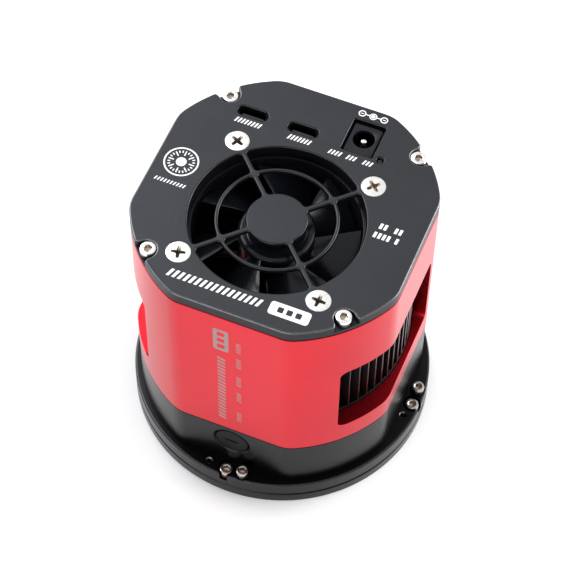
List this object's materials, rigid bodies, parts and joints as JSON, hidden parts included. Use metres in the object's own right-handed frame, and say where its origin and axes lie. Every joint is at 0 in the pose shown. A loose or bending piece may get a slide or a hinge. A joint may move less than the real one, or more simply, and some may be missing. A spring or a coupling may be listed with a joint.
{
  "type": "cooled astronomy camera",
  "caption": "Round-cornered cooled astronomy camera: telescope flange with tilt adjustment, sealed sensor chamber, finned heat sink, cooling fan under a guard, and cable sockets.",
  "frame": {"origin": "on the body's axis, at the face of the tilt plate that meets the telescope", "axes": "+Z along the body's axis away from the telescope, towards the fan; -Y towards the desiccant plug; +X completes a right-handed frame"},
  "size_m": [0.09, 0.09, 0.09],
  "materials": {
    "black_anodised": "satin black anodised",
    "black_heat_sink": "matte black anodised",
    "dark_grey_anodised": "fine bead-blasted dark grey anodised",
    "red_anodised": "satin red anodised",
    "stainless_steel": "turned",
    "brass": "turned",
    "copper": null,
    "black_rubber": "matte",
    "black_foam": "closed-cell foam",
    "coated_glass": "anti-reflection coated",
    "white_ceramic": "unglazed alumina",
    "sensor_silicon": "polished silicon",
    "circuit_board": "green solder mask",
    "flex_ribbon": "amber polyimide",
    "fan_plastic": "moulded",
    "rubber_magnet": "bonded magnet",
    "black_plastic": "moulded",
    "port_steel": "drawn",
    "red_lead": "sleeved lead",
    "desiccant": "pressed tablet"
  },
  "bodies": {
    "tilt_plate": {"tilt_plate": "black_anodised"},
    "light_seal": {"tilt_light_seal": "black_foam"},
    "camera": {"front_body": "black_anodised", "window_retainer": "black_anodised", "protect_window": "coated_glass", "window_seal": "black_rubber", "image_sensor": "white_ceramic", "sensor_die": "sensor_silicon", "sensor_cover_glass": "coated_glass", "sensor_board": "circuit_board", "cold_finger": "copper", "peltier_cooler": "white_ceramic", "insulation": "black_foam", "chamber_seal": "black_rubber", "heat_sink": "black_heat_sink", "main_shell": "red_anodised", "shell_screw_1": "stainless_steel", "shell_screw_2": "stainless_steel", "shell_screw_3": "stainless_steel", "shell_screw_4": "stainless_steel", "heat_sink_screw_1": "stainless_steel", "heat_sink_screw_2": "stainless_steel", "board_standoff_1": "brass", "board_standoff_2": "brass", "sensor_flex": "flex_ribbon", "flex_connector": "black_plastic", "main_board": "circuit_board", "usb_c_port_device": "port_steel", "usb_c_port_main": "port_steel", "dc_jack": "black_plastic", "dc_jack_pin": "stainless_steel", "status_light_pipe": "coated_glass", "top_cover": "dark_grey_anodised", "cover_screw_1": "stainless_steel", "cover_screw_2": "stainless_steel", "cover_screw_3": "stainless_steel", "cover_screw_4": "stainless_steel", "fan_screw_1": "stainless_steel", "fan_screw_2": "stainless_steel", "fan_screw_3": "stainless_steel", "fan_screw_4": "stainless_steel", "fan_frame": "fan_plastic", "fan_stator": "copper", "fan_circuit": "circuit_board", "fan_bearing": "brass", "fan_lead": "red_lead", "tilt_pull_screw_1": "stainless_steel", "tilt_pull_screw_2": "stainless_steel", "tilt_pull_screw_3": "stainless_steel", "tilt_pull_screw_4": "stainless_steel", "tilt_push_screw_1": "stainless_steel", "tilt_push_screw_2": "stainless_steel", "tilt_push_screw_3": "stainless_steel", "tilt_push_screw_4": "stainless_steel"},
    "fan_rotor": {"fan_rotor": "fan_plastic", "fan_magnet": "rubber_magnet", "fan_shaft": "stainless_steel"},
    "desiccant_plug": {"desiccant_plug": "black_anodised", "desiccant_seal": "black_rubber", "desiccant_tablet": "desiccant"}
  },
  "joints": [
    {"name": "tilt_about_x", "type": "hinge", "parent": "tilt_plate", "child": "light_seal", "pos_m": [0, 0, 0.00425], "axis": [1, 0, 0], "range_deg": [-0.4, 0.4]},
    {"name": "tilt_about_y", "type": "hinge", "parent": "light_seal", "child": "camera", "pos_m": [0, 0, 0.00425], "axis": [0, 1, 0], "range_deg": [-0.4, 0.4]},
    {"name": "fan_spin", "type": "hinge", "parent": "camera", "child": "fan_rotor", "pos_m": [0, -0.006, 0.08], "axis": [0, 0, 1], "continuous": true},
    {"name": "desiccant_plug_out", "type": "slide", "parent": "camera", "child": "desiccant_plug", "axis": [0, -1, 0], "range_m": [0, 0.02]}
  ]
}
